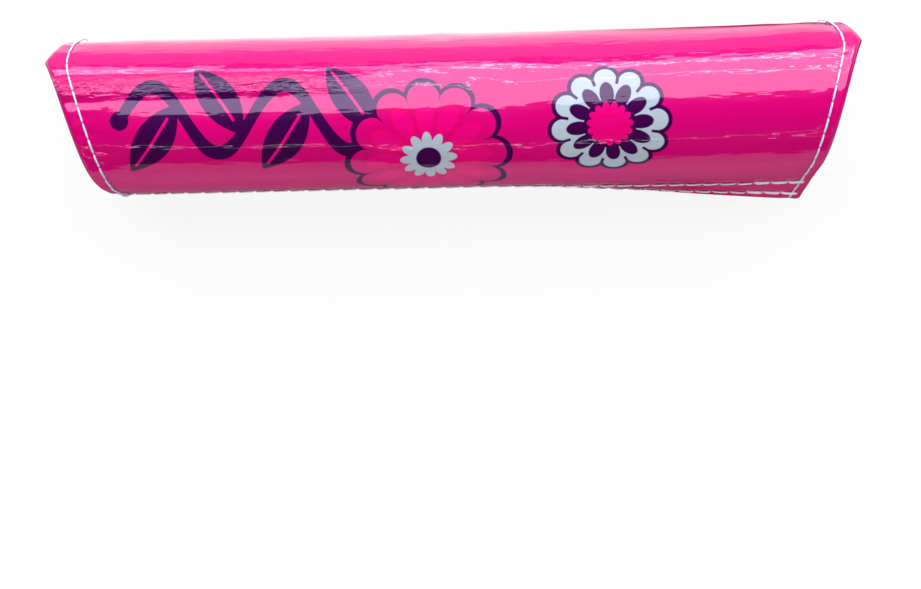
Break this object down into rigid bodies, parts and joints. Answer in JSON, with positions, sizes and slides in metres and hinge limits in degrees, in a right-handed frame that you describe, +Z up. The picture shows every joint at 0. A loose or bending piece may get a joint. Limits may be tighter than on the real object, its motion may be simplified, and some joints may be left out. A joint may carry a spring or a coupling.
{
  "type": "handlebar crossbar pad",
  "caption": "Soft rolled handlebar crossbar pad with V-cut ends, glossy printed vinyl cover, foam core and a hook-and-loop closure.",
  "frame": {"origin": "middle of the flat spot that the pad lies on, below the axis of its bore", "axes": "+X runs along the pad and its bore, and +Z points up from the surface that it lies on"},
  "size_m": [0.23, 0.0486, 0.0435],
  "materials": {
    "glossy_vinyl": "glossy",
    "open_foam": "matte",
    "pale_knit": "matte",
    "white_nylon": "matte"
  },
  "bodies": {
    "root": {"outer_cover": "glossy_vinyl", "foam_core": "open_foam", "inner_lining": "pale_knit", "hook_tape": "white_nylon", "loop_tape": "white_nylon"}
  },
  "joints": []
}
